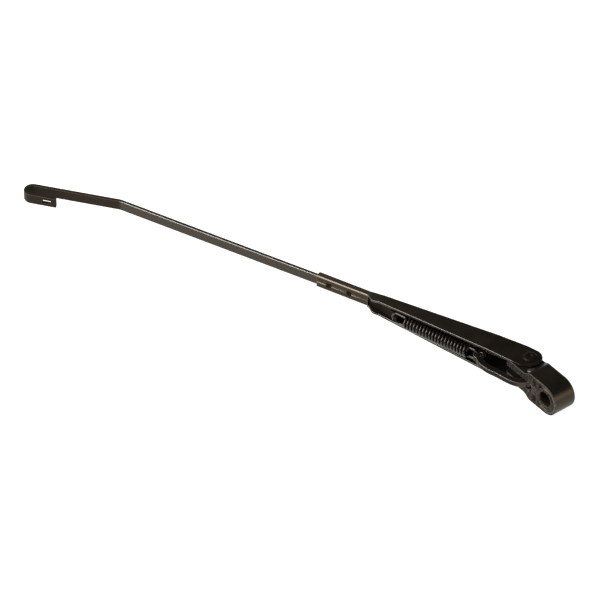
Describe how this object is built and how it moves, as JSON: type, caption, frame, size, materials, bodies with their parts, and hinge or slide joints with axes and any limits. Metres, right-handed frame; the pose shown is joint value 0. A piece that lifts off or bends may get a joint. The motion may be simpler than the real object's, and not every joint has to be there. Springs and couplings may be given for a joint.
{
  "type": "windscreen wiper arm",
  "caption": "Sprung windscreen wiper arm: a cast spindle head pivoted in a pressed channel that grips a flat bar with a hooked end for the blade.",
  "frame": {"origin": "centre of the spindle's tapered bore, level with the rim of the head's underside", "axes": "+Y along the spindle, out of the underside, towards the glass; +X along the head towards the arm; +Z along the pivot, up as the arm lies on its flank"},
  "size_m": [0.4652, 0.1977, 0.0274],
  "materials": {
    "painted_casting": "satin black paint",
    "painted_sheet": "satin black paint",
    "painted_bar": "satin black paint",
    "painted_wire": "satin black paint",
    "painted_rivet": "satin black paint",
    "bush_steel": "dull steel",
    "washer_polymer": "matt dark plastic"
  },
  "bodies": {
    "head": {"mounting_head": "painted_casting", "pivot_bush": "bush_steel", "link_pin": "bush_steel"},
    "arm": {"arm_channel": "painted_sheet", "arm_rod": "painted_bar", "pivot_rivet": "painted_rivet", "pivot_washers": "washer_polymer", "tension_spring": "painted_wire"},
    "link": {"spring_link": "painted_sheet"}
  },
  "joints": [
    {"name": "arm_lift", "type": "hinge", "parent": "head", "child": "arm", "pos_m": [0.0344, -0.0137, 0], "axis": [0, 0, -1], "range_deg": [0, 72], "stiffness_Nm_per_rad": 0.4, "springref_deg": -34.38, "deforming": ["tension_spring"]},
    {"name": "link_turn", "type": "hinge", "parent": "head", "child": "link", "pos_m": [0.02367, -0.00557, 0], "axis": [0, 0, -1], "range_deg": [0, 60]}
  ],
  "couplings": [
    {"joint": "link_turn", "follows": "arm_lift", "ratio": 0.8}
  ]
}
